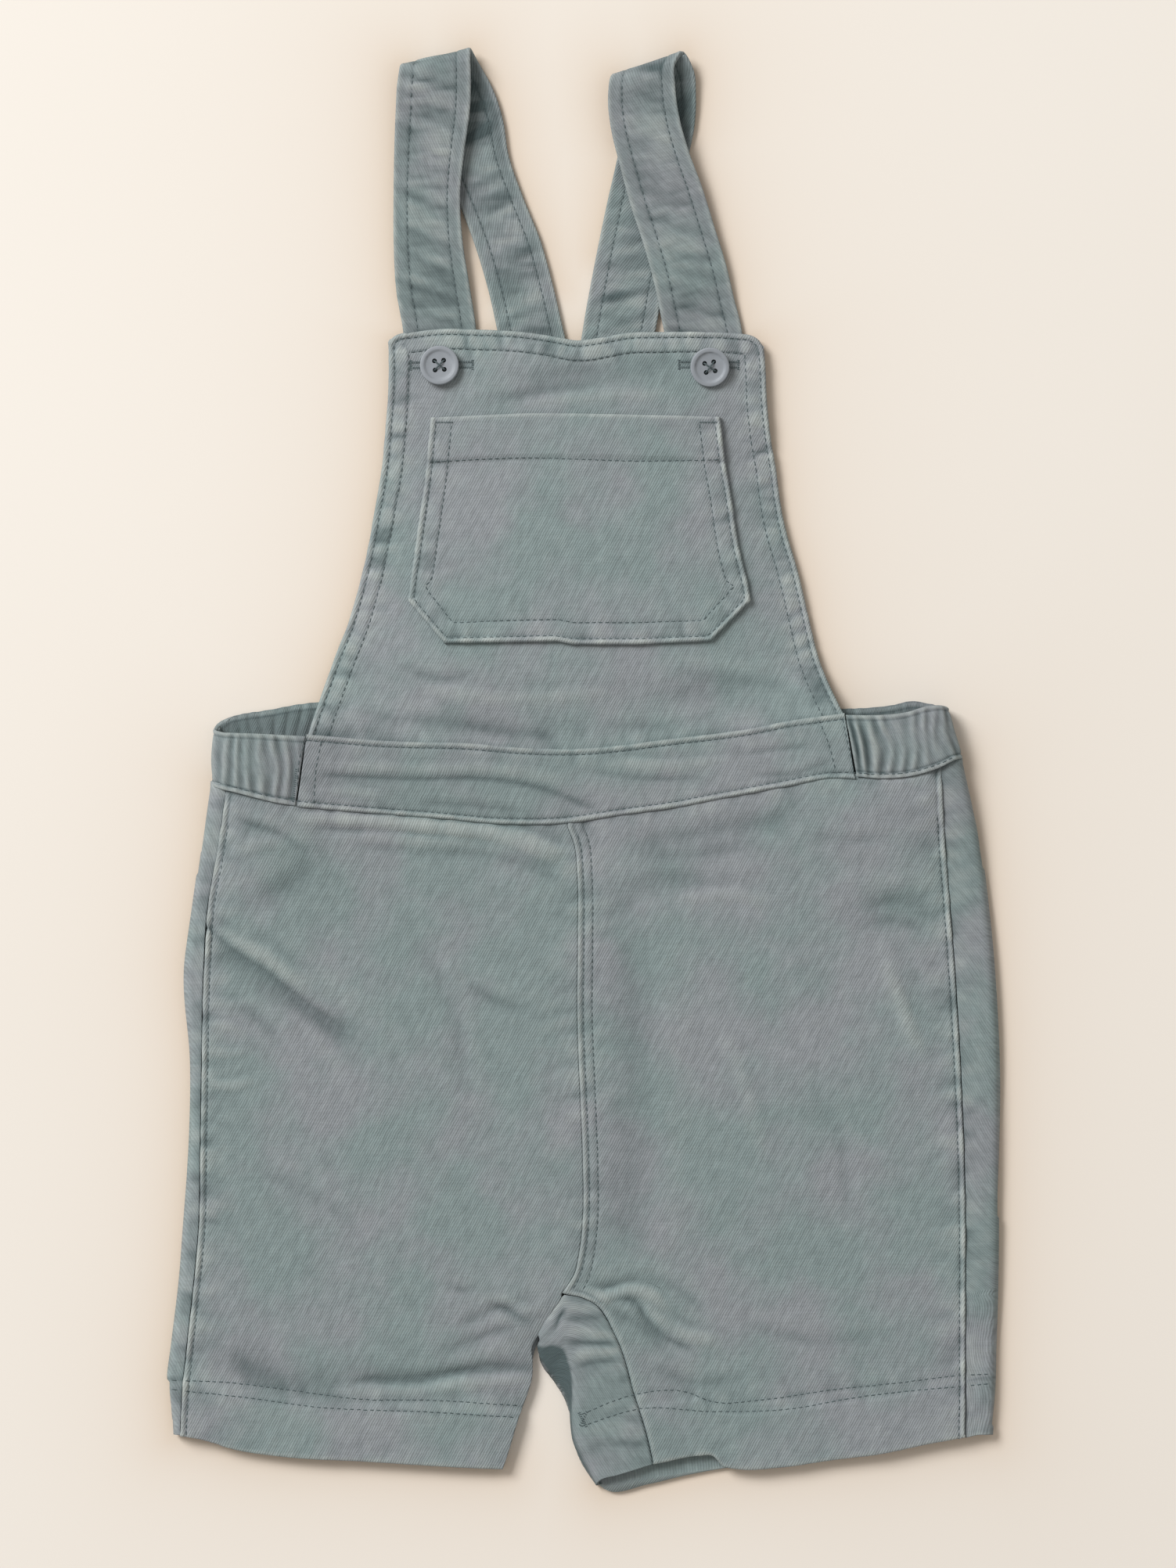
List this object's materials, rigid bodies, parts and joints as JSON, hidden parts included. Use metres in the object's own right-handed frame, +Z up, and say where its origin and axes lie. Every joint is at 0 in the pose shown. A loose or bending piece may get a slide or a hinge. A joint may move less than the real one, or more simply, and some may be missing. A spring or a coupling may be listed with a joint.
{
  "type": "children's short dungarees laid flat",
  "caption": "Short twill dungarees lying flat, with a bib and patch pocket, crossed shoulder straps, buttons and a side-elasticated waistband.",
  "frame": {"origin": "centre of the bounding box, on the surface that the garment rests on", "axes": "+Y from the hems to the shoulder straps, +X to the right of someone who looks down on the front, +Z up from the surface"},
  "size_m": [0.3085, 0.5306, 0.0113],
  "materials": {
    "twill": "washed cotton twill, grey green, with paler worn edges",
    "button": "satin, blue grey"
  },
  "bodies": {
    "root": {"back_leg_left": "twill", "back_leg_right": "twill", "front_leg_left": "twill", "front_leg_right": "twill", "back_waistband": "twill", "front_waistband": "twill", "strap_left": "twill", "strap_right": "twill", "bib": "twill", "bib_pocket": "twill", "button_left": "button", "button_right": "button"}
  },
  "joints": []
}
